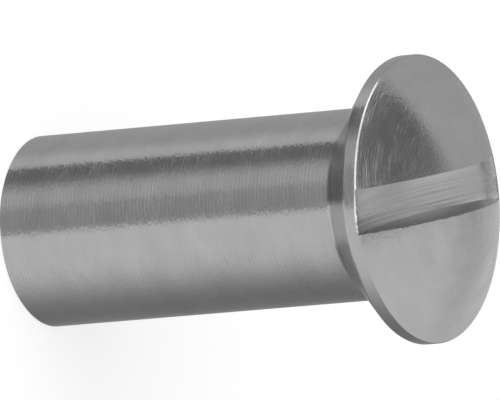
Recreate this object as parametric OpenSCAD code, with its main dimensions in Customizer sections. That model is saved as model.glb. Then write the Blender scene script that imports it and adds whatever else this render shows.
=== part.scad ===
// Sleeve nut with a raised countersunk head: one turned piece with an M6 thread inside.
// The nut stands on its open end. The axis of the sleeve is Z, and the slot runs along X.

/* [Head] */
// Diameter of the head over its rim
head_d = 12; // [10:0.1:16]
// Height of the crown above the rim
crown_h = 1.7; // [0.8:0.05:2.4]
// Width of the straight land round the rim
land_w = 0.6; // [0.3:0.05:1.2]
// Rounding between the land and the crown
rim_r = 0.12; // [0.05:0.01:0.25]
// Included angle of the cone under the head
cone_angle = 96; // [82:1:110]
// Fillet where the cone meets the sleeve
neck_r = 0.3; // [0.1:0.05:0.6]

/* [Sleeve] */
// Outer diameter of the sleeve
sleeve_d = 8; // [7.2:0.1:9.6]
// Overall length, from the open end to the top of the crown
total_l = 20; // [15:0.5:60]
// Edge break round the outside of the open end
end_break = 0.08; // [0.02:0.01:0.3]

/* [Thread] */
// Nominal diameter of the internal thread
thread_d = 6; // [4:1:6]
// Pitch of the internal thread
thread_pitch = 1; // [0.7:0.05:1]
// Included angle of the drill's point at the bottom of the bore
drill_angle = 118; // [100:1:140]
// Metal left between the drill's point and the slot's floor
web_t = 1.65; // [0.8:0.05:4]
// Width of the 45 degree chamfer outside the thread's nominal diameter
mouth_chamfer = 0.15; // [0.05:0.05:0.4]

/* [Driver slot] */
// Width of the slot
slot_w = 1.85; // [1:0.05:2.4]
// Depth of the slot at its deepest, below the top of the crown
slot_depth = 2.85; // [2:0.05:3]
// Diameter of the slotting saw, which gives the floor its arc
saw_d = 41; // [32:1:80]
// How far the slot's deepest place lies towards the +X end
slot_lead = 0.55; // [0:0.05:1]
// How far the slot's centre line lies beside the axis, towards +Y
slot_side = 0.2; // [0:0.05:0.4]
// Thickness of the lip that the saw leaves standing at the +X end, at the rim's height
lip_t = 0.1; // [0.05:0.01:0.3]
// Lean of the lip's inner face, outwards from the upright
lip_lean = 20; // [0:1:30]

/* [Hidden] */
$fn = 144;
over = 1; // how far a cutting shape reaches past the face that it cuts
bite = 0.001; // how far the neck's fillet cuts past its tangent points, for clean edges there

head_r = head_d / 2;
sleeve_r = sleeve_d / 2;
rim_z = total_l - crown_h;
land_z = rim_z - land_w;

// The crown is a cap of the sphere through the rim's circle and the top of the crown.
crown_r = (head_r * head_r + crown_h * crown_h) / (2 * crown_h);
crown_z = total_l - crown_r;

// The rim's rounding touches the land from inside and the crown's circle from inside.
rim_c = [head_r - rim_r, crown_z + sqrt(pow(crown_r - rim_r, 2) - pow(head_r - rim_r, 2))];
crown_dir = (rim_c - [0, crown_z]) / (crown_r - rim_r);
rim_on_land = [head_r, rim_c[1]];
rim_on_crown = rim_c + rim_r * crown_dir;

// The cone runs from the back of the land down to the sleeve.
cone_half = cone_angle / 2;
cone_z = land_z - (head_r - sleeve_r) / tan(cone_half);

// The neck's fillet touches the sleeve below the cone and the cone itself.
neck_reach = neck_r * tan(cone_half / 2);
neck_c = [sleeve_r + neck_r, cone_z - neck_reach];
neck_on_cone = [sleeve_r + neck_reach * sin(cone_half), cone_z + neck_reach * cos(cone_half)];

// A coarse metric thread is tapped in a hole one pitch under its nominal diameter.
bore_r = (thread_d - thread_pitch) / 2;
mouth_r = thread_d / 2 + mouth_chamfer;
drill_point = bore_r / tan(drill_angle / 2);

saw_r = saw_d / 2;
slot_z = total_l - slot_depth;

// The lip's inner face is part of a cone, from well below the floor to well above the crown.
lip_low = slot_z - over;
lip_high = total_l + over;
function lip_r(z) = head_r - lip_t + (z - rim_z) * tan(lip_lean);

// The bore goes as deep as the web below the slot allows.
bore_depth = slot_z - web_t - drill_point;

// Everything outside the rounding between the land and the crown
module rim_corner() {
    difference() {
        polygon([rim_on_land, rim_on_land + [over, 0], rim_on_crown + over * crown_dir, rim_on_crown]);
        translate(rim_c) circle(r = rim_r);
    }
}

// Half section of the head: the crown's arc over the straight land
module head_section() {
    difference() {
        intersection() {
            translate([0, crown_z]) circle(r = crown_r, $fn = 720);
            translate([0, land_z]) square([head_r, crown_h + land_w]);
        }
        rim_corner();
    }
}

// Half section of the sleeve and of the cone that carries the head, with the fillet between them
module sleeve_section() {
    difference() {
        polygon([
            [0, 0],
            [sleeve_r - end_break, 0],
            [sleeve_r, end_break],
            [sleeve_r, neck_c[1]],
            neck_on_cone,
            [head_r, land_z],
            [0, land_z]
        ]);
        translate(neck_c) circle(r = neck_r + bite);
    }
}

// The turned blank, before it is drilled and slotted
module blank() {
    rotate_extrude() {
        head_section();
        sleeve_section();
    }
}

// The blind bore for the thread, with its chamfered mouth and the drill's point
module thread_bore() {
    translate([0, 0, -over]) cylinder(r = bore_r, h = bore_depth + over);
    translate([0, 0, bore_depth]) cylinder(r1 = bore_r, r2 = 0, h = drill_point);
    translate([0, 0, -over]) cylinder(r1 = mouth_r + over, r2 = bore_r, h = over + mouth_r - bore_r);
}

// The saw's cut, which runs out over the rim at -X and stops at the lip at +X
module driver_slot() {
    intersection() {
        translate([slot_lead, slot_side, slot_z + saw_r])
            rotate([90, 0, 0])
                cylinder(r = saw_r, h = slot_w, center = true, $fn = 1440);
        union() {
            translate([0, 0, lip_low])
                cylinder(r1 = lip_r(lip_low), r2 = lip_r(lip_high), h = lip_high - lip_low);
            translate([-head_r - over, -head_r, 0]) cube([head_r + over, head_d, total_l + over]);
        }
    }
}

module sleeve_nut() {
    color("darkgray")
        difference() {
            blank();
            thread_bore();
            driver_slot();
        }
}

sleeve_nut();
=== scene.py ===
"""A turned steel sleeve nut, standing on its open end on a pale studio floor."""
import math

import bmesh
import bpy
import numpy as np
from bpy.props import FloatProperty, FloatVectorProperty, IntProperty, PointerProperty
from mathutils import Matrix, Vector


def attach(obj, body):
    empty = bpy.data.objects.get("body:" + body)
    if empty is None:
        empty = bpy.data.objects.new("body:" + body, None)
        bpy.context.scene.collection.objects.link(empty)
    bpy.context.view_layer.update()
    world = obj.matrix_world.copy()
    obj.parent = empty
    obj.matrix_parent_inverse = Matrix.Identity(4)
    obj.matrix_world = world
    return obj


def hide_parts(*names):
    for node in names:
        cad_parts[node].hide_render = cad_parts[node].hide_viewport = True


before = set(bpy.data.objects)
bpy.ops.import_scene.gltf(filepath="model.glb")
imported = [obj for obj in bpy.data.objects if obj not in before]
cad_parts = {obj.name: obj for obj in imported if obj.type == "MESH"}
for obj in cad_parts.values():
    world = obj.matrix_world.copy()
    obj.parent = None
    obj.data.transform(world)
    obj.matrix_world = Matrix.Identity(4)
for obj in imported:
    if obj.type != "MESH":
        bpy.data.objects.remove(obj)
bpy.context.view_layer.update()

bl_info = {
    "name": "Sleeve Nut",
    "version": (1, 0, 0),
    "blender": (4, 5, 0),
    "location": "View3D > Sidebar > Sleeve Nut",
    "description": "Builds a turned sleeve nut with a slotted raised head, and its studio",
    "category": "Add Mesh",
}

CAD_NODE = "sleeve_nut"
MM = 0.001
WELD = 0.0004 * MM  # points of neighbouring surfaces that are closer than this are one
SLIVER = 0.0001 * MM
SHARP_EDGE = math.radians(40)
FEWEST_FACES = 1000  # a nut with fewer is one that the slot's cut has emptied
KNOTS = 512  # random values that one wandering line is drawn through
SENSOR_MM = 36.0


# ---------------------------------------------------------------- sizes and finish


def length(label, text, value_mm):
    """A length property, given in millimetres and stored in metres."""
    return FloatProperty(name=label, description=text, default=value_mm * MM, min=0.0,
                         unit="LENGTH", precision=6)


def angle(label, text, degrees):
    """An angle property, given in degrees and stored in radians."""
    return FloatProperty(name=label, description=text, default=math.radians(degrees),
                         subtype="ANGLE")


def factor(label, text, value):
    """A property between 0 and 1."""
    return FloatProperty(name=label, description=text, default=value, min=0.0, max=1.0,
                         subtype="FACTOR")


def grey(label, text, tone):
    """A colour property whose default is a neutral grey."""
    return FloatVectorProperty(name=label, description=text, subtype="COLOR", size=3,
                               default=(tone, tone, tone), min=0.0, max=1.0)


class NutSizes(bpy.types.PropertyGroup):
    """Sizes of the nut. They are those of the CAD part, with its fine marks added."""

    head_d: length("Head diameter", "Diameter of the head over its rim", 12.0)
    crown_h: length("Crown height", "Height of the crown above the rim", 1.7)
    land_w: length("Land width", "Width of the straight land round the rim", 0.6)
    rim_r: length("Rim rounding", "Rounding between the land and the crown", 0.12)
    land_break: length("Land break", "Fine edge break at the back of the land", 0.03)
    cone_angle: angle("Cone angle", "Included angle of the cone under the head", 96.0)
    neck_r: length("Neck fillet", "Fillet where the cone meets the sleeve", 0.3)
    sleeve_d: length("Sleeve diameter", "Outer diameter of the sleeve", 8.0)
    total_l: length("Overall length", "From the open end to the top of the crown", 20.0)
    end_break: length("End break", "Edge break round the outside of the open end", 0.08)
    feed: length("Feed", "Advance of the turning tool in one turn", 0.176)
    feed_depth: length("Feed mark depth", "Depth of the groove that the tool leaves", 0.005)
    thread_d: length("Thread diameter", "Nominal diameter of the internal thread", 6.0)
    pitch: length("Thread pitch", "Advance of the thread in one turn", 1.0)
    web_t: length("Web", "Metal between the drill's point and the slot's floor", 1.65)
    drill_angle: angle("Drill angle", "Included angle at the bottom of the bore", 118.0)
    mouth_chamfer: length("Mouth chamfer", "Chamfer's width outside the thread", 0.15)
    runout: length("Thread run-out", "Plain bore beyond the last full thread", 1.2)
    slot_w: length("Slot width", "Width of the screwdriver slot", 1.85)
    slot_depth: length("Slot depth", "Deepest place of the slot, below the crown", 2.85)
    saw_d: length("Saw diameter", "Diameter of the saw, which gives the floor its arc", 41.0)
    slot_lead: length("Slot lead", "How far the deepest place lies towards +X", 0.55)
    slot_side: length("Slot offset", "How far the slot's centre line lies towards +Y", 0.2)
    lip_t: length("Lip thickness", "Thickness of the lip at the +X end, at the rim", 0.1)
    lip_lean: angle("Lip lean", "Lean of the lip's inner face, outwards from the upright", 20.0)
    lip_relief: length("Lip relief", "Depth of the saw's marks on the lip's face", 0.006)
    end_bevel: length("End bevel", "Bevel where the slot's floor runs out at -X", 0.07)
    end_lift: length("End lift", "Rise of the floor's end at -X, at its +Y side", 0.14)
    foot_rise: length("Foot rise", "Rise of the floor where it meets the walls", 0.018)
    burr: length("Slot edge break", "Mean width of the ragged break on the slot's edges", 0.028)
    streak_depth: length("Streak depth", "Depth of the saw's streaks along the floor", 0.0016)
    segments: IntProperty(name="Segments", description="Faces round the axis",
                          default=112, min=24, max=256)


class NutFinish(bpy.types.PropertyGroup):
    """Colour and surface of the bright steel."""

    colour: grey("Steel", "Reflected colour of the turned steel", 0.58)
    roughness: factor("Roughness", "Mean roughness of the turned faces", 0.2)
    spread: factor("Anisotropy", "Spread of reflections across the tool's marks", 0.85)
    mark_relief: length("Mark relief", "Height of the tool's fine marks in the material", 0.0035)
    scratch_roughness: factor("Scratches", "Roughness that fine scratches add", 0.17)
    sleeve_scratches: factor("Sleeve scratches", "Share of the crown's scratches below it", 0.7)
    sawn_colour: grey("Sawn steel", "Reflected colour in the slot", 0.6)
    sawn_roughness: factor("Sawn roughness", "Roughness of the slot's floor", 0.2)
    wall_roughness: factor("Wall roughness", "Roughness that the slot's walls add", 0.12)
    lip_roughness: factor("Lip roughness", "Roughness of the lip's face", 0.32)
    sawn_spread: factor("Sawn anisotropy", "Spread of reflections across the streaks", 0.6)
    streak_relief: length("Streak relief", "Height of the fine streaks in the material", 0.0025)
    # painted shade: the share of the colour that the slot's walls keep where they are painted
    # darkest
    painted_wall_share: factor("Wall share", "Reflection that the walls keep where they are dullest", 0.32)


class NutStudio(bpy.types.PropertyGroup):
    """Camera and studio round the nut."""

    elevation: angle("Elevation", "Height of the camera above the floor, as an angle", 30.1)
    side_turn: angle("Turn", "How far the camera stands from -X towards +Y", 4.97)
    roll: angle("Roll", "Turn of the axis in the picture, from its horizontal", -4.93)
    distance: length("Distance", "From the camera to the rim's plane", 744.0)
    rim_height: length("Rim height", "Height of the rim above the floor", 18.3)
    focal_mm: FloatProperty(name="Focal length", description="Lens, in mm on a 36 mm sensor",
                            default=1296.6, min=1.0)
    aim_along: length("Aim back", "How far the aim lies from the rim to the open end", 7.3466)
    aim_across: length("Aim across", "How far the aim lies beside the axis", 0.05)
    floor_size: length("Floor", "Side of the floor", 600.0)
    floor_colour: grey("Floor colour", "Pale floor", 0.9)
    shadow_share: factor("Shadow share", "How much of its shadow the white floor shows", 0.25)
    dome_tone: factor("Dome", "Tone of the dome where no card covers it", 0.34)
    lamp_size: length("Lamp size", "Diameter of the wide soft lamp", 500.0)
    lamp_power: FloatProperty(name="Lamp power", description="Power of the wide soft lamp",
                              default=1.6, min=0.0, unit="POWER")
    lamp_place: FloatVectorProperty(name="Lamp place", description="Centre of the soft lamp",
                                    subtype="TRANSLATION", unit="LENGTH", size=3,
                                    default=(-0.12, 0.15, 0.5))


# ---------------------------------------------------------------- shapes


def arc(centre, radius, start, end, count):
    """Points of a profile along a circle: centre + radius (cos a, sin a), a from start to end."""
    a = np.linspace(start, end, count)
    return np.column_stack([centre[0] + radius * np.cos(a), centre[1] + radius * np.sin(a)])


def straight(start, end, count):
    """Points of a profile along a straight line, without its last point."""
    t = np.linspace(0.0, 1.0, count, endpoint=False)[:, None]
    return np.asarray(start) * (1 - t) + np.asarray(end) * t


def rings(profile, segments):
    """A profile (r, z) turned round Z: x = r cos a, y = r sin a. Returns points and quads."""
    a = np.arange(segments) / segments * 2 * math.pi
    r, z = profile[:, :1], profile[:, 1:]
    points = np.stack([r * np.cos(a), r * np.sin(a), z + 0 * a], axis=-1).reshape(-1, 3)
    row, col = np.meshgrid(np.arange(len(profile) - 1), np.arange(segments), indexing="ij")
    nxt = (col + 1) % segments
    quads = np.stack([row * segments + col, row * segments + nxt,
                      (row + 1) * segments + nxt, (row + 1) * segments + col], axis=-1)
    return points, quads.reshape(-1, 4)


def helix(pitch, phases, depths, radius_at, low, high, segments):
    """A wall whose rows climb by one pitch in a turn: z = low + pitch (k + phase + a / 2 pi).

    Each row keeps one phase of the groove, so that a crest or root is a clean line. Rows are cut
    off at the heights low and high, and radius_at(z, depth) gives the radius of a point.
    """
    a = np.arange(segments) / segments
    turns = np.arange(-2, math.ceil((high - low) / pitch) + 1)
    rows = (turns[:, None] + np.asarray(phases)[None, :]).ravel()
    depth = np.tile(depths, len(turns))[:, None]
    z = np.clip(low + pitch * (rows[:, None] + a[None, :]), low, high)
    r = radius_at(z, depth)
    turn = 2 * math.pi * a[None, :]
    points = np.stack([r * np.cos(turn), r * np.sin(turn), z], axis=-1).reshape(-1, 3)
    row, col = np.meshgrid(np.arange(len(rows) - 1), np.arange(segments), indexing="ij")
    # the last column meets the first one a whole turn further up
    seam = (col == segments - 1) * len(phases)
    nxt = (col + 1) % segments
    corners = [(row, col), (row + seam, nxt), (row + 1 + seam, nxt), (row + 1, col)]
    inside = (row + 1 + seam < len(rows)).ravel()
    quads = np.stack([i * segments + j for i, j in corners], axis=-1).reshape(-1, 4)
    return points, quads[inside]


def block_skin(counts):
    """The skin of a unit block as points (0 to 1 on each axis) and quads, joined at its edges."""
    points, quads, offset = [], [], 0
    for axis in range(3):
        u, v = [k for k in range(3) if k != axis]
        gu, gv = np.meshgrid(np.arange(counts[u] + 1), np.arange(counts[v] + 1), indexing="ij")
        row, col = np.meshgrid(np.arange(counts[u]), np.arange(counts[v]), indexing="ij")
        base = (row * (counts[v] + 1) + col).ravel()
        face = np.stack([base, base + counts[v] + 1, base + counts[v] + 2, base + 1], axis=-1)
        for side in (0, counts[axis]):
            grid = np.zeros(gu.shape + (3,), int)
            grid[..., u], grid[..., v], grid[..., axis] = gu, gv, side
            points.append(grid.reshape(-1, 3))
            quads.append(face + offset)
            offset += gu.size
    whole, index = np.unique(np.vstack(points), axis=0, return_inverse=True)
    return whole / np.asarray(counts, float), index.reshape(-1)[np.vstack(quads)]


def wander(x, step, seed):
    """A smooth random line through one value from -1 to 1 at every step along x.

    Between two values it blends by 3 t squared - 2 t cubed.
    """
    knots = np.random.default_rng(seed).uniform(-1.0, 1.0, KNOTS)
    t = (x - x.min()) / step
    low = np.floor(t).astype(int)
    mix = t - low
    mix = mix * mix * (3 - 2 * mix)
    return knots[low] * (1 - mix) + knots[low + 1] * mix


def mesh_object(name, parts):
    """One closed mesh object from (points, quads) parts: welded, with its normals outwards."""
    points, quads, offset = [], [], 0
    for part_points, part_quads in parts:
        points.append(part_points)
        quads.append(part_quads + offset)
        offset += len(part_points)
    mesh = bpy.data.meshes.new(name)
    mesh.from_pydata(np.vstack(points).tolist(), [], np.vstack(quads).tolist())
    solid = bmesh.new()
    solid.from_mesh(mesh)
    bmesh.ops.remove_doubles(solid, verts=solid.verts, dist=WELD)
    bmesh.ops.dissolve_degenerate(solid, edges=solid.edges, dist=SLIVER)
    bmesh.ops.recalc_face_normals(solid, faces=solid.faces)
    solid.to_mesh(mesh)
    solid.free()
    made = bpy.data.objects.new(name, mesh)
    bpy.context.scene.collection.objects.link(made)
    return made


def crown_sphere(size):
    """Centre height and radius of the sphere through the rim's circle and the crown's top."""
    head_r = size.head_d / 2
    radius = (head_r ** 2 + size.crown_h ** 2) / (2 * size.crown_h)
    return size.total_l - radius, radius


def bore_end(size):
    """Heights of the bore's last full width and of the tip of its drilled point."""
    point = (size.thread_d - size.pitch) / 2 / math.tan(size.drill_angle / 2)
    tip = size.total_l - size.slot_depth - size.web_t
    return tip - point, tip


def neck(size):
    """Centre of the neck's fillet, half the cone's angle, and the height of the land's back."""
    head_r, sleeve_r, half = size.head_d / 2, size.sleeve_d / 2, size.cone_angle / 2
    land_z = size.total_l - size.crown_h - size.land_w
    cone_z = land_z - (head_r - sleeve_r) / math.tan(half)
    reach = size.neck_r * math.tan(half / 2)
    return (sleeve_r + size.neck_r, cone_z - reach), half, land_z


def head_profile(size):
    """The head's half section from the sleeve's end to the top: fillet, cone, land, rim, crown.

    The fillet and the rim's rounding are arcs that touch their neighbours.
    """
    head_r = size.head_d / 2
    neck_c, half, land_z = neck(size)
    crown_z, crown_r = crown_sphere(size)
    rim_c_r = head_r - size.rim_r
    rim_c_z = crown_z + math.sqrt((crown_r - size.rim_r) ** 2 - rim_c_r ** 2)
    rim_top = math.atan2(rim_c_z - crown_z, rim_c_r)
    fillet = arc(neck_c, size.neck_r, math.pi, math.pi / 2 + half, 9)
    back = size.land_break
    cone_end = (head_r - back * math.sin(half), land_z - back * math.cos(half))
    cone = straight(fillet[-1], cone_end, 14)[1:]
    land = straight((head_r, land_z + back), (head_r, rim_c_z), 7)
    rim = arc((rim_c_r, rim_c_z), size.rim_r, 0.0, rim_top, 12)
    crown = arc((0.0, crown_z), crown_r, rim_top, math.pi / 2, 60)[1:]
    return np.vstack([fillet, cone, [cone_end], land, rim, crown])


def sleeve_wall(size):
    """The sleeve with the tool's feed marks: a shallow groove that climbs by one feed in a turn.

    The groove's section is a parabola, and it fades out over half a feed at both ends.
    """
    phases = np.array([0.0, 0.25, 0.5, 0.75])
    depths = size.feed_depth * (1 - (2 * phases - 1) ** 2)
    sleeve_r = size.sleeve_d / 2
    low, high = size.end_break, neck(size)[0][1]

    def radius_at(z, depth):
        fade = np.clip(np.minimum(z - low, high - z) / (size.feed / 2), 0.0, 1.0)
        return sleeve_r - depth * fade

    return helix(size.feed, phases, depths, radius_at, low, high, size.segments)


def thread_wall(size):
    """The bore's wall with its metric thread: flanks at 30 degrees between flat crests and roots.

    Widths along the axis are shares of the pitch. A 45 degree chamfer opens the mouth, and the
    grooves fade out to the plain bore at its end.
    """
    minor, major = (size.thread_d - size.pitch) / 2, size.thread_d / 2
    flank = (major - minor) * math.tan(math.radians(30)) / size.pitch
    half_root = 1 / 16
    crest = 0.5 - half_root - flank
    half = crest + np.linspace(0.0, flank, 4)
    phases = np.concatenate([[-crest / 3, crest / 3], half, 1 - half[::-1]])
    height = np.clip((np.minimum(np.abs(phases), 1 - phases) - crest) / flank, 0.0, 1.0)
    mouth = major + size.mouth_chamfer
    high = bore_end(size)[0]
    plain = 0.4 * MM

    def radius_at(z, depth):
        fade = np.clip((high - plain - z) / size.runout, 0.0, 1.0)
        return np.maximum(minor + depth * fade, mouth - z)

    depths = (major - minor) * height
    points, quads = helix(size.pitch, phases, depths, radius_at, 0.0, high, size.segments)
    return points, quads[:, ::-1]


def bore_floor(size):
    """The cone that the drill's point leaves at the bottom of the bore."""
    corner_z, tip_z = bore_end(size)
    corner, tip = ((size.thread_d - size.pitch) / 2, corner_z), (0.0, tip_z)
    return rings(np.vstack([straight(corner, tip, 12), [tip]]), size.segments)


def open_end(size):
    """The flat face of the open end, from the bore's mouth to the outer edge break."""
    mouth = size.thread_d / 2 + size.mouth_chamfer
    sleeve_r = size.sleeve_d / 2
    edge = (sleeve_r - size.end_break, 0.0)
    profile = np.vstack([straight((mouth, 0.0), edge, 6), [edge], [(sleeve_r, size.end_break)]])
    return rings(profile, size.segments)


def saw_arc(size, x):
    """Height of the saw's path: centre - sqrt(radius squared - (x - slot lead) squared)."""
    saw_r = size.saw_d / 2
    lowest = size.total_l - size.slot_depth
    return lowest + saw_r - np.sqrt(saw_r ** 2 - (x - size.slot_lead) ** 2)


def crown_at(size, x, y):
    """Height of the crown: centre + sqrt(radius squared - x squared - y squared)."""
    crown_z, crown_r = crown_sphere(size)
    return crown_z + np.sqrt(np.maximum(crown_r ** 2 - x ** 2 - y ** 2, 0.0))


def slot_floor(size, x, y, across):
    """Height of the slot's floor: the saw's arc, with streaks, raised feet and an end at the rim.

    The streaks are random lines across y, one of which comes and goes along x. The feet of the
    walls rise with the square of the way past foot_start. At -X the floor lifts with the square
    of its nearness to the rim, most at +Y, and then falls away in a straight bevel.
    """
    tooth, thin_tooth, wave, sway = 0.06 * MM, 0.05 * MM, 0.3 * MM, 2.5 * MM
    streaks = wander(y, tooth, 11) + 0.4 * wander(y, thin_tooth, 12) * wander(x, sway, 3)
    streaks = streaks + 2.5 * wander(y, wave, 13)
    foot_start = 0.4
    foot = np.clip((np.abs(across) - foot_start) / (1 - foot_start), 0.0, 1.0)
    inside = size.head_d / 2 - np.hypot(x, y)
    lift_reach, bevel_slope, bevel_past_rim = 0.8 * MM, 1.5, 4.0
    near = np.clip(1 - inside / lift_reach, 0.0, 1.0) * (x < 0)
    bevel = np.clip(1 - inside / size.end_bevel, 0.0, bevel_past_rim) * (x < 0)
    floor = saw_arc(size, x) + size.streak_depth * streaks + size.foot_rise * foot ** 2
    floor = floor + size.end_lift * (across + 1) / 2 * near ** 2
    return floor - bevel_slope * size.end_bevel * bevel


def edge_break(size, x, across):
    """Width and height of the ragged break on the slot's edges: its mean times a random line.

    It stands higher towards the lip on the -Y side, where the edge is worn.
    """
    chip, wave, least = 0.15 * MM, 0.6 * MM, 0.1
    # the sides of all the points together are the seed, so that both edges share one line
    ragged = 1 + 0.8 * wander(x, chip, 21 + (across > 0)) + 0.4 * wander(x, wave, 31)
    width = size.burr * np.maximum(ragged, least)
    worn_from, worn_fade, wear = 2.3 * MM, 0.8 * MM, 2.0
    worn = np.clip((x - worn_from) / worn_fade, 0.0, 1.0) * (across < 0)
    return width, width * (1 + wear * worn)


def slot_cutter(size):
    """The saw's cut as a solid: a block's skin bent to the saw's arc.

    Along the slot, s runs from outside the rim to the lip, with its rows closer at both ends.
    Across it, t runs from wall to wall. Upwards, h runs from the floor to the crown and past it,
    in rows: share is how much of that height a row has, and rise and flare are how many times the
    break's height and width it is moved upwards and outwards. The lip's face leans outwards as
    part of a cone.
    """
    counts = (300, 40, 8)  # faces along, across and upwards
    skin, quads = block_skin(counts)
    s, t, h = skin.T
    head_r, half_w = size.head_d / 2, size.slot_w / 2
    past_rim, past_crown, bunching = 0.25 * MM, 1.0 * MM, 0.6
    across = 2 * t - 1
    y = size.slot_side + half_w * across
    # the rows: floor, four up the wall, foot of the break, its edge on the crown, and two above
    row = np.round(h * counts[2]).astype(int)
    share = np.array([0.0, 0.2, 0.4, 0.6, 0.8, 1.0, 1.0, 1.0, 1.0])[row]
    rise = np.array([0, 0, 0, 0, 0, -1, 0, 1, 1])[row]
    flare = np.array([0, 0, 0, 0, 0, 0, 1, 2, 2])[row]
    clear = (row == counts[2]) * past_crown
    lip_x = np.sqrt((head_r - size.lip_t) ** 2 - y ** 2)
    lip_z = saw_arc(size, lip_x) * (1 - share) + crown_at(size, lip_x, y) * share + clear
    lip_x = lip_x + math.tan(size.lip_lean) * (lip_z - (size.total_l - size.crown_h))
    lip_x = lip_x + size.lip_relief * wander(y, 0.06 * MM, 11)
    start = -head_r - past_rim
    x = start + (lip_x - start) * (s - bunching * np.sin(2 * math.pi * s) / (2 * math.pi))
    floor = slot_floor(size, x, y, across)
    width, height = edge_break(size, x, across)
    z = floor * (1 - share) + crown_at(size, x, y) * share + rise * height + clear
    on_wall = np.abs(across) > 0.999
    y = y + np.sign(across) * flare * width * on_wall
    return np.column_stack([x, y, z]), quads


# ---------------------------------------------------------------- materials and light


def add_node(tree, kind, *values, output=0, **settings):
    """Adds a node, sets its properties and its first inputs, and returns one of its outputs."""
    node = tree.nodes.new(kind)
    for key, value in settings.items():
        setattr(node, key, value)
    for socket, value in zip(node.inputs, values):
        plug(tree, socket, value)
    return node.outputs[output]


def plug(tree, socket, value):
    """Links an output to a socket, or sets the socket's own value."""
    if isinstance(value, bpy.types.NodeSocket):
        tree.links.new(value, socket)
    elif value is not None:
        socket.default_value = value


def maths(tree, operation, *values):
    """One scalar operation."""
    return add_node(tree, "ShaderNodeMath", *values, operation=operation)


def vector(tree, operation, *values, output=0):
    """One vector operation."""
    return add_node(tree, "ShaderNodeVectorMath", *values, output=output, operation=operation)


def turned_coordinates(tree):
    """Coordinates that follow the turning, the direction of its marks, and the height.

    The coordinates are (x, y) / r for the place round the axis, so that no seam shows, and
    z + slant r along the profile, which grows along every face from the open end to the crown.
    """
    slant = 1.7
    place = add_node(tree, "ShaderNodeTexCoord", output="Object")
    x, y, z = add_node(tree, "ShaderNodeSeparateXYZ", place).node.outputs
    flat = add_node(tree, "ShaderNodeCombineXYZ", x, y, 0.0)
    radius = vector(tree, "LENGTH", flat, output="Value")
    along = maths(tree, "ADD", z, maths(tree, "MULTIPLY", radius, slant))
    round_x = maths(tree, "DIVIDE", x, radius)
    round_y = maths(tree, "DIVIDE", y, radius)
    turned = add_node(tree, "ShaderNodeCombineXYZ", round_x, round_y, along)
    grain = add_node(tree, "ShaderNodeCombineXYZ", maths(tree, "MULTIPLY", y, -1.0), x, 0.0)
    return turned, grain, z


def noise(tree, place, per_unit, detail=2.0):
    """Noise with so many features to a unit in each of the place's three directions."""
    scaled = vector(tree, "MULTIPLY", place, per_unit)
    scale, roughness = 1.0, 0.6
    return add_node(tree, "ShaderNodeTexNoise", scaled, None, scale, detail, roughness)


def marks(tree, turned, per_radian, per_metre, detail=2.0):
    """Noise in the turned coordinates, with so many features round the axis and along."""
    return noise(tree, turned, (per_radian, per_radian, per_metre), detail)


def spread_to(tree, value, low, high, to_low, to_high):
    """A value's range spread to another range and clamped to it."""
    return add_node(tree, "ShaderNodeMapRange", value, low, high, to_low, to_high)


def vary(tree, noisy, to_low, to_high):
    """Spreads a noise, whose values lie mostly between 0.3 and 0.7, over another range."""
    return spread_to(tree, noisy, 0.3, 0.7, to_low, to_high)


def steel_material(name, spread):
    """A metal whose reflections spread across its marks. Returns it with its tree and shader."""
    material = bpy.data.materials.new(name)
    material.use_nodes = True
    shader = material.node_tree.nodes["Principled BSDF"]
    shader.inputs["Metallic"].default_value = 1.0
    shader.inputs["Anisotropic"].default_value = spread
    # a quarter turn, so that the tangent runs along the marks
    shader.inputs["Anisotropic Rotation"].default_value = 0.25
    return material, material.node_tree, shader


def raise_marks(tree, shader, relief, height):
    """Bumps the surface by a height that follows the relief."""
    bump = add_node(tree, "ShaderNodeBump", 1.0, height, output="Normal")
    plug(tree, bump.node.inputs["Height"], relief)
    plug(tree, shader.inputs["Normal"], bump)


def turned_steel(finish, size):
    """Bright turned steel: fine marks round the axis spread its reflections along the profile.

    Strokes and hairs are the tool's marks, short nicks make the edges of reflections ragged, and
    long scratches are rough, so that they show light where the steel mirrors something dark.
    """
    material, tree, shader = steel_material("turned_steel", finish.spread)
    turned, grain, z = turned_coordinates(tree)
    strokes = marks(tree, turned, 3.0, 6000.0)
    hairs = marks(tree, turned, 5.0, 22000.0)
    nicks = marks(tree, turned, 22.0, 13000.0, 1.0)
    relief = maths(tree, "MULTIPLY_ADD", hairs, 0.35, strokes)
    relief = maths(tree, "MULTIPLY_ADD", nicks, 2.4, relief)
    raise_marks(tree, shader, relief, finish.mark_relief)
    cloud = vary(tree, marks(tree, turned, 2.0, 900.0), 0.95, 1.05)
    plug(tree, shader.inputs["Base Color"],
         vector(tree, "MULTIPLY", tuple(finish.colour), cloud))
    scratches = spread_to(tree, marks(tree, turned, 5.0, 38000.0, 1.0), 0.46, 0.7, 0.0, 1.0)
    patches = spread_to(tree, marks(tree, turned, 2.2, 1500.0, 1.0), 0.38, 0.62, 0.25, 1.0)
    scratches = maths(tree, "MULTIPLY", scratches, patches)
    rim_z, fade = size.total_l - size.crown_h, 0.1 * MM
    on_crown = spread_to(tree, z, rim_z - fade, rim_z + fade, finish.sleeve_scratches, 1.0)
    scratches = maths(tree, "MULTIPLY", scratches, on_crown)
    rough = vary(tree, hairs, finish.roughness * 0.88, finish.roughness * 1.12)
    rough = maths(tree, "MULTIPLY_ADD", scratches, finish.scratch_roughness, rough)
    plug(tree, shader.inputs["Roughness"], rough)
    plug(tree, shader.inputs["Tangent"], grain)
    return material


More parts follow.
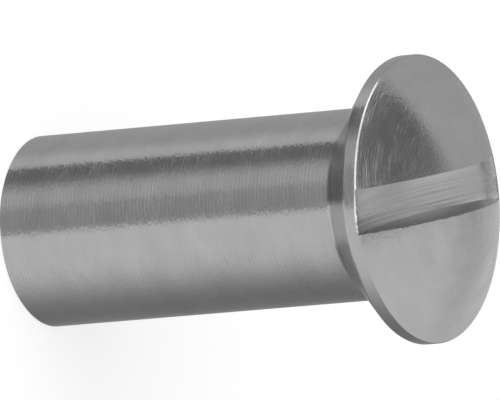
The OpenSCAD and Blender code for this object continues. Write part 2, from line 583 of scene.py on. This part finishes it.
def slot_painted_shade(tree, finish, size, x, y, reach, wall):
    """Share of the steel's colour that each place in the slot reflects, as painted shade and
    painted light.

    The walls get painted shade, darkest at -X and less towards +X, and their feet get painted
    shade towards +X. The floor gets painted shade where it runs out at -X, painted light towards
    the lip, and most painted light beside the -Y wall. reach is the distance from the saw's axis,
    and wall is 1 on the walls and 0 on the floor.
    """
    def along_slot(from_mm, to_mm, start, end):
        return spread_to(tree, x, from_mm * MM, to_mm * MM, start, end)

    # painted shade on the slot's walls: darkest at -X, fading out towards +X
    painted_wall_shade = along_slot(-3.0, 2.5, finish.painted_wall_share - 1.0, 0.0)
    # painted shade where the floor runs out at -X, and painted light towards the lip
    painted_end_shade = along_slot(-5.5, -2.5, 0.84, 1.0)
    painted_lip_light = along_slot(-2.0, 3.0, 1.0, 1.09)
    shade = maths(tree, "MULTIPLY_ADD", painted_wall_shade, wall, 1.0)
    shade = maths(tree, "MULTIPLY", shade, painted_end_shade)
    shade = maths(tree, "MULTIPLY", shade, painted_lip_light)
    # painted light on the floor beside the -Y wall, with less of it on the wall itself
    low_side, beside_w, painted_light_gain = size.slot_side - size.slot_w / 2, 0.35 * MM, 0.2
    beside = spread_to(tree, y, low_side, low_side + beside_w, painted_light_gain, 0.0)
    off_wall = maths(tree, "MULTIPLY_ADD", wall, -0.6, 1.0)
    beside = maths(tree, "MULTIPLY", beside, off_wall)
    # painted shade at the feet of both walls, growing towards +X
    saw_r, foot_h, painted_foot_shade = size.saw_d / 2, 0.5 * MM, 0.3
    foot = spread_to(tree, reach, saw_r - foot_h, saw_r, 0.0, 1.0)
    foot = maths(tree, "MULTIPLY", foot, along_slot(-4.0, 0.0, 0.0, -painted_foot_shade))
    change = maths(tree, "MULTIPLY_ADD", foot, wall, beside)
    return maths(tree, "MULTIPLY_ADD", shade, change, shade)


def sawn_steel(finish, size):
    """Steel in the slot: streaks along X from the saw's teeth, which spread reflections across.

    The streaks are noise in x, y and the distance from the saw's axis, so that they follow its
    arc on the floor and on the walls.
    """
    material, tree, shader = steel_material("sawn_steel", finish.sawn_spread)
    place = add_node(tree, "ShaderNodeTexCoord", output="Object")
    x, y = add_node(tree, "ShaderNodeSeparateXYZ", place).node.outputs[:2]
    centre = (size.slot_lead, 0.0, size.total_l - size.slot_depth + size.saw_d / 2)
    spoke = vector(tree, "MULTIPLY", vector(tree, "SUBTRACT", place, centre), (1.0, 0.0, 1.0))
    reach = vector(tree, "LENGTH", spoke, output="Value")
    swept = add_node(tree, "ShaderNodeCombineXYZ", x, y, reach)
    streaks = noise(tree, swept, (90.0, 12000.0, 12000.0))
    raise_marks(tree, shader, streaks, finish.streak_relief)
    aside = maths(tree, "ABSOLUTE", maths(tree, "SUBTRACT", y, size.slot_side))
    half_w, wall_from, wall_to = size.slot_w / 2, 0.006 * MM, 0.002 * MM
    wall = spread_to(tree, aside, half_w - wall_from, half_w - wall_to, 0.0, 1.0)
    # the streaks vary the colour as the steel's own grain; the slot's shade multiplied in is
    # painted shade and painted light
    shade = maths(tree, "MULTIPLY", vary(tree, streaks, 0.9, 1.1),
                  slot_painted_shade(tree, finish, size, x, y, reach, wall))
    plug(tree, shader.inputs["Base Color"],
         vector(tree, "MULTIPLY", tuple(finish.sawn_colour), shade))
    lip_from, lip_to = 5.6 * MM, 5.75 * MM
    rough = spread_to(tree, x, lip_from, lip_to, finish.sawn_roughness, finish.lip_roughness)
    rough = maths(tree, "MULTIPLY_ADD", wall, finish.wall_roughness, rough)
    plug(tree, shader.inputs["Roughness"], rough)
    plug(tree, shader.inputs["Tangent"], (1.0, 0.0, 0.0))
    return material


def level_axes(studio):
    """Towards the camera and beside it, both level, and straight up."""
    cos, sin = math.cos(studio.side_turn), math.sin(studio.side_turn)
    return Vector((-cos, sin, 0.0)), Vector((sin, cos, 0.0)), Vector((0.0, 0.0, 1.0))


def camera_axes(studio):
    """The camera's own right, up and back directions, turned by the roll about the last."""
    towards, beside, upright = level_axes(studio)
    back = math.sin(studio.elevation) * upright + math.cos(studio.elevation) * towards
    axis = math.cos(studio.elevation) * upright - math.sin(studio.elevation) * towards
    right = math.cos(studio.roll) * axis + math.sin(studio.roll) * beside
    up = math.cos(studio.roll) * beside - math.sin(studio.roll) * axis
    return right, up, back


class Dome:
    """The studio round the nut: a grey dome with cards, each limited by planes with soft edges.

    A limit is a direction, an offset and a blur: it holds where the direction's product with the
    ray is above the offset, and the card fades in over the blur.
    """

    def __init__(self, tree, studio):
        self.tree = tree
        self.ray = add_node(tree, "ShaderNodeTexCoord", output="Generated")
        self.tone = studio.dome_tone
        self.towards, self.beside, self.upright = level_axes(studio)
        self.level = math.cos(studio.elevation)

    def beyond(self, seen_at, blur=0.02):
        """The side of a card whose edge shows on turned faces at that angle round the axis.

        Angles are in degrees from the camera's side, upwards in the picture. The edge is the
        circle of directions that a face turned to that angle mirrors to the camera.
        """
        a = math.radians(seen_at)
        direction = math.cos(a) * self.beside - math.sin(a) * self.towards
        return tuple(direction), self.level * math.sin(a), blur

    def short_of(self, seen_at, blur=0.02):
        """The other side of such an edge."""
        direction, offset, blur = self.beyond(seen_at, blur)
        return tuple(-part for part in direction), -offset, blur

    def card(self, tone, *limits):
        """Lays a card of that tone over the dome, inside all its limits."""
        mask = None
        for direction, offset, blur in limits:
            reach = vector(self.tree, "DOT_PRODUCT", self.ray, direction, output="Value")
            edge = add_node(self.tree, "ShaderNodeMapRange", reach, offset - blur / 2,
                            offset + blur / 2, 0.0, 1.0, interpolation_type="SMOOTHSTEP")
            mask = edge if mask is None else maths(self.tree, "MULTIPLY", mask, edge)
        change = maths(self.tree, "SUBTRACT", tone, self.tone)
        self.tone = maths(self.tree, "MULTIPLY_ADD", change, mask, self.tone)


def above(height, blur):
    """Directions that rise more than that share of their length."""
    return (0.0, 0.0, 1.0), height, blur


def below(height, blur):
    """Directions that rise less than that share of their length."""
    return (0.0, 0.0, -1.0), -height, blur


def within(direction, radius, blur):
    """Directions within that angle, in degrees, of one direction."""
    return tuple(direction), math.cos(math.radians(radius)), blur


def belt_cards(dome):
    """The belt round the sleeve: four cards upwards in the picture, and two in its lower half."""
    dome.card(0.49, dome.beyond(15.5, 0.12))
    dome.card(0.15, dome.beyond(28.5, 0.32))
    dome.card(0.57, dome.beyond(42.3))
    dome.card(0.43, dome.beyond(52.0, 0.2))
    dome.card(0.71, dome.short_of(-0.6, 0.03))
    dome.card(0.20, dome.short_of(-38.8, 0.84), dome.beyond(-105.0, 0.2), below(0.0, 0.3))


def low_cards(dome):
    """Panels under the nut, which the cone shows after the sleeve has mirrored them."""
    low, edge = below(-0.7, 0.1), 2.0
    dome.card(0.80, low, dome.short_of(edge), dome.beyond(-18.0, 0.2))
    dome.card(0.15, low, dome.beyond(edge), dome.short_of(26.0, 0.2))
    dome.card(0.22, low, dome.short_of(-23.0, 0.2))


def crown_cards(dome, over):
    """The disc over the back that the crown mirrors: bright, with a dark wedge cut into it."""
    disc, wedge, wedge_end = within(over, 48.0, 0.1), 14.0, 60.5
    dome.card(0.70, disc)
    dip = (-0.92 * dome.towards - 0.22 * dome.beside + 0.32 * dome.upright).normalized()
    dome.card(0.665, within(dip, 15.0, 0.09))
    dome.card(0.45, disc, dome.beyond(wedge))
    dome.card(0.13, disc, dome.beyond(wedge), above(0.66, 0.05))
    dome.card(0.13, disc, dome.beyond(4.0), above(0.88, 0.03))
    dome.card(0.51, disc, dome.beyond(wedge_end, 0.01))
    dome.card(0.46, disc, dome.beyond(85.0, 0.5))


def rim_cards(dome, over):
    """The softbox that lights the rim's rounding, outside the crown's disc, and the lip's card."""
    outside, end = within(-over, 128.0, 0.05), dome.short_of(56.5, 0.05)
    lip_low, lip_high = dome.beyond(-16.0, 0.1), dome.beyond(-12.0, 0.15)
    dome.card(0.45, above(0.0, 0.1), lip_low, dome.short_of(2.0))
    dome.card(1.8, outside, above(0.65, 0.2), lip_high, dome.short_of(2.0))
    dome.card(1.6, outside, above(0.5, 0.2), dome.beyond(1.0), end)
    dome.card(1.6, outside, above(0.0, 0.2), dome.beyond(4.5, 0.03), end)
    dome.card(2.0, outside, above(0.0, 0.2), dome.beyond(36.0, 0.1), end)


def studio_world(studio):
    """White to the camera. To the nut it is a dome of soft panels and grey cards."""
    world = bpy.data.worlds.new("studio")
    bpy.context.scene.world = world
    world.use_nodes = True
    tree = world.node_tree
    dome = Dome(tree, studio)
    over = (-0.53 * dome.towards + 0.85 * dome.upright).normalized()
    belt_cards(dome)
    low_cards(dome)
    crown_cards(dome, over)
    rim_cards(dome, over)
    shown = tree.nodes["Background"]
    plug(tree, shown.inputs["Color"], dome.tone)
    white = tree.nodes.new("ShaderNodeBackground")
    white.inputs["Color"].default_value = (1.0, 1.0, 1.0, 1.0)
    seen = add_node(tree, "ShaderNodeLightPath", output="Is Camera Ray")
    mixed = add_node(tree, "ShaderNodeMixShader", seen, shown.outputs[0], white.outputs[0])
    tree.links.new(mixed, tree.nodes["World Output"].inputs["Surface"])


def studio_floor(studio):
    """A plain pale floor: white, with a share of the soft shadow that the nut casts on it.

    It is hidden from the nut's reflections, and from below it is clear.
    """
    half = studio.floor_size / 2
    corners = [(-half, -half, 0), (half, -half, 0), (half, half, 0), (-half, half, 0)]
    mesh = bpy.data.meshes.new("floor")
    mesh.from_pydata(corners, [], [(0, 1, 2, 3)])
    floor = bpy.data.objects.new("floor", mesh)
    bpy.context.scene.collection.objects.link(floor)
    material = bpy.data.materials.new("floor_paper")
    material.use_nodes = True
    tree = material.node_tree
    paper = tree.nodes["Principled BSDF"]
    paper.inputs["Base Color"].default_value = (*studio.floor_colour, 1.0)
    paper.inputs["Roughness"].default_value = 1.0
    paper.inputs["Specular IOR Level"].default_value = 0.0
    white = add_node(tree, "ShaderNodeEmission", (1.0, 1.0, 1.0, 1.0), 1.0)
    path = tree.nodes.new("ShaderNodeLightPath").outputs
    seen = maths(tree, "MAXIMUM", path["Is Camera Ray"], path["Is Glossy Ray"])
    seen = maths(tree, "MAXIMUM", seen, path["Is Transmission Ray"])
    share = maths(tree, "MULTIPLY", seen, 1.0 - studio.shadow_share)
    shown = add_node(tree, "ShaderNodeMixShader", share, paper.outputs[0], white)
    under = add_node(tree, "ShaderNodeNewGeometry", output="Backfacing")
    clear = add_node(tree, "ShaderNodeBsdfTransparent")
    shown = add_node(tree, "ShaderNodeMixShader", under, shown, clear)
    tree.links.new(shown, tree.nodes["Material Output"].inputs["Surface"])
    mesh.materials.append(material)
    floor.visible_glossy = False


def studio_lamp(studio):
    """A wide soft lamp over the floor. Its reflection is the dome's own softbox."""
    lamp = bpy.data.lights.new("overhead_softbox", "AREA")
    lamp.shape = "DISK"
    lamp.size = studio.lamp_size
    lamp.energy = studio.lamp_power
    holder = bpy.data.objects.new("overhead_softbox", lamp)
    holder.location = studio.lamp_place
    holder.rotation_euler = (-holder.location).to_track_quat("-Z", "Y").to_euler()
    holder.visible_glossy = False
    bpy.context.scene.collection.objects.link(holder)


def studio_camera(studio):
    """A long lens at the given height, turned so that the nut's axis lies across the picture."""
    right, up, back = camera_axes(studio)
    rim = Vector((0.0, 0.0, studio.rim_height))
    place = rim - studio.aim_along * right - studio.aim_across * up + studio.distance * back
    turned = Matrix((right, up, back)).transposed().to_4x4()
    data = bpy.data.cameras.new("camera")
    data.lens = studio.focal_mm
    data.sensor_width = SENSOR_MM
    data.clip_start = 0.01
    data.clip_end = 5.0
    camera = bpy.data.objects.new("camera", data)
    camera.matrix_world = Matrix.Translation(place) @ turned
    bpy.context.scene.collection.objects.link(camera)
    bpy.context.scene.camera = camera


# ---------------------------------------------------------------- operators


class SLEEVENUT_OT_nut(bpy.types.Operator):
    """Build the turned nut with its feed marks, thread and sawn slot"""

    bl_idname = "sleeve_nut.nut"
    bl_label = "Turned Nut"

    def execute(self, context):
        size = context.scene.nut_sizes
        finish = context.scene.nut_finish
        head = rings(head_profile(size), size.segments)
        nut = mesh_object("turned_nut", [bore_floor(size), thread_wall(size), open_end(size),
                                         sleeve_wall(size), head])
        cutter = mesh_object("slot_cutter", [slot_cutter(size)])
        nut.data.materials.append(turned_steel(finish, size))
        cutter.data.materials.append(sawn_steel(finish, size))
        cut = nut.modifiers.new("slot", "BOOLEAN")
        cut.operation = "DIFFERENCE"
        cut.solver = "MANIFOLD"
        cut.object = cutter
        cut.material_mode = "TRANSFER"
        context.view_layer.objects.active = nut
        bpy.ops.object.modifier_apply(modifier=cut.name)
        bpy.data.objects.remove(cutter)
        mesh = nut.data
        mesh.polygons.foreach_set("use_smooth", np.ones(len(mesh.polygons), bool))
        mesh.set_sharp_from_angle(angle=SHARP_EDGE)
        if len(mesh.polygons) < FEWEST_FACES:
            raise RuntimeError("the slot's cut emptied the nut")
        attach(nut, "root")
        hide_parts(CAD_NODE)
        return {"FINISHED"}


class SLEEVENUT_OT_stage(bpy.types.Operator):
    """Build the floor, the light and the camera"""

    bl_idname = "sleeve_nut.stage"
    bl_label = "Studio"

    def execute(self, context):
        studio = context.scene.nut_studio
        studio_world(studio)
        studio_floor(studio)
        studio_lamp(studio)
        studio_camera(studio)
        context.scene.view_settings.view_transform = "Standard"
        return {"FINISHED"}


class SLEEVENUT_PT_panel(bpy.types.Panel):
    """Buttons for the nut and its studio"""

    bl_label = "Sleeve Nut"
    bl_idname = "SLEEVENUT_PT_panel"
    bl_space_type = "VIEW_3D"
    bl_region_type = "UI"
    bl_category = "Sleeve Nut"

    def draw(self, context):
        for operator in OPERATORS:
            self.layout.operator(operator.bl_idname)


OPERATORS = (SLEEVENUT_OT_nut, SLEEVENUT_OT_stage)
GROUPS = {"nut_sizes": NutSizes, "nut_finish": NutFinish, "nut_studio": NutStudio}


def register():
    """Registers the classes and hangs the property groups on the scene."""
    for name, group in GROUPS.items():
        bpy.utils.register_class(group)
        setattr(bpy.types.Scene, name, PointerProperty(type=group))
    for item in (*OPERATORS, SLEEVENUT_PT_panel):
        bpy.utils.register_class(item)


def unregister():
    """Takes away what register() added."""
    for item in (SLEEVENUT_PT_panel, *OPERATORS):
        bpy.utils.unregister_class(item)
    for name, group in GROUPS.items():
        delattr(bpy.types.Scene, name)
        bpy.utils.unregister_class(group)


def main():
    """Builds everything in order."""
    register()
    bpy.ops.sleeve_nut.nut()
    bpy.ops.sleeve_nut.stage()


if __name__ == "__main__":
    main()
